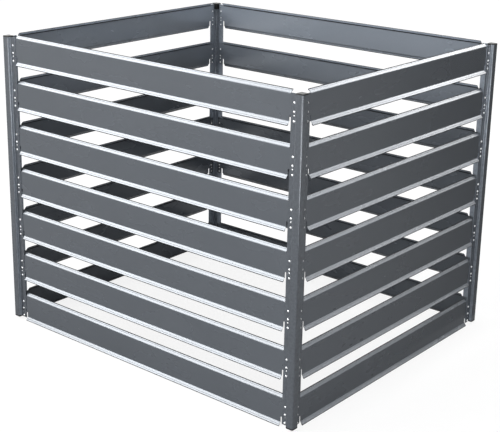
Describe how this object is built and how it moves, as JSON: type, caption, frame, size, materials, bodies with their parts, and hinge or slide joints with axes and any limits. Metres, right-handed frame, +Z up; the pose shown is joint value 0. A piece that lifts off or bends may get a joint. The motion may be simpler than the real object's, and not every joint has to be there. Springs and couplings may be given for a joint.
{
  "type": "slatted compost bin",
  "caption": "Rectangular open-topped compost bin of folded sheet-metal slats fixed between four folded corner posts, with plastic caps and feet.",
  "frame": {"origin": "on the ground at the middle of the bin", "axes": "+Z up; -Y is the front, the longer side at the left of the picture; +X is the right, the shorter side at the right of the picture"},
  "size_m": [1.15, 0.985, 0.9334],
  "materials": {
    "painted_post": "fine-textured satin anthracite powder coat",
    "painted_slat": "fine-textured satin anthracite powder coat",
    "moulded_plastic": "matt moulded black plastic",
    "zinc_stud": "bright zinc-plated stud heads"
  },
  "bodies": {
    "root": {"front_left_post": "painted_post", "front_left_cap": "moulded_plastic", "front_left_foot": "moulded_plastic", "front_right_post": "painted_post", "front_right_cap": "moulded_plastic", "front_right_foot": "moulded_plastic", "back_right_post": "painted_post", "back_right_cap": "moulded_plastic", "back_right_foot": "moulded_plastic", "back_left_post": "painted_post", "back_left_cap": "moulded_plastic", "back_left_foot": "moulded_plastic", "front_slat_1": "painted_slat", "front_slat_2": "painted_slat", "front_slat_3": "painted_slat", "front_slat_4": "painted_slat", "front_slat_5": "painted_slat", "front_slat_6": "painted_slat", "front_slat_7": "painted_slat", "right_slat_1": "painted_slat", "right_slat_2": "painted_slat", "right_slat_3": "painted_slat", "right_slat_4": "painted_slat", "right_slat_5": "painted_slat", "right_slat_6": "painted_slat", "right_slat_7": "painted_slat", "back_slat_1": "painted_slat", "back_slat_2": "painted_slat", "back_slat_3": "painted_slat", "back_slat_4": "painted_slat", "back_slat_5": "painted_slat", "back_slat_6": "painted_slat", "back_slat_7": "painted_slat", "left_slat_1": "painted_slat", "left_slat_2": "painted_slat", "left_slat_3": "painted_slat", "left_slat_4": "painted_slat", "left_slat_5": "painted_slat", "left_slat_6": "painted_slat", "left_slat_7": "painted_slat"}
  },
  "joints": []
}
